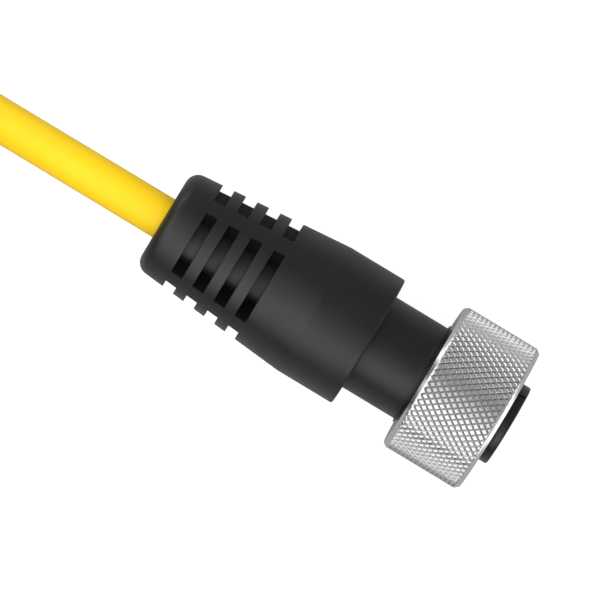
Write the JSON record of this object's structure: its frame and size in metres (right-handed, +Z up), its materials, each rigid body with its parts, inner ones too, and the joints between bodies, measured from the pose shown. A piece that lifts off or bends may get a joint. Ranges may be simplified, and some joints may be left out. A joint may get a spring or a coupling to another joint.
{
  "type": "connector cable",
  "caption": "Circular power connector moulded on a round jacketed cable: knurled coupling nut, keyed socket insert, windowed strain relief, tied hank of cable, bare flying leads.",
  "frame": {"origin": "on the floor, under the middle of the connector from the grip's rear face to the mating face", "axes": "+X along the connector's axis, out of its mating face; +Z up; the cable leaves towards -X"},
  "size_m": [0.2406, 0.067, 0.0343],
  "materials": {
    "overmold": "satin",
    "carrier": "satin",
    "seal": "satin",
    "contact": "satin",
    "nut": "satin nickel plate",
    "washer": "polished",
    "jacket": "satin",
    "tie": "satin",
    "copper": "bright",
    "black_core": "satin",
    "blue_core": "satin",
    "green_yellow_core": "satin",
    "brown_core": "satin",
    "white_core": "satin"
  },
  "bodies": {
    "connector": {"grip": "overmold", "contact_carrier": "carrier", "socket_insert": "carrier", "sealing_ring": "seal", "premould": "carrier", "cable_run": "jacket", "cable_hank": "jacket", "tie_1": "tie", "tie_2": "tie", "strand_tips": "copper", "lead_black": "black_core", "lead_blue": "blue_core", "lead_green_yellow": "green_yellow_core", "lead_brown": "brown_core", "lead_white": "white_core", "socket_contact_1": "contact", "socket_contact_2": "contact", "socket_contact_3": "contact", "socket_contact_4": "contact", "socket_contact_5": "contact", "core_1": "black_core", "core_2": "blue_core", "core_3": "green_yellow_core", "core_4": "brown_core", "core_5": "white_core"},
    "washer": {"slip_washer": "washer"},
    "nut": {"coupling_nut": "nut"}
  },
  "joints": [
    {"name": "nut_slide", "type": "slide", "parent": "connector", "child": "washer", "axis": [1, 0, 0], "range_m": [-0.0096, 0]},
    {"name": "nut_spin", "type": "hinge", "parent": "washer", "child": "nut", "pos_m": [0, 0, 0.01295], "axis": [1, 0, 0], "continuous": true}
  ]
}
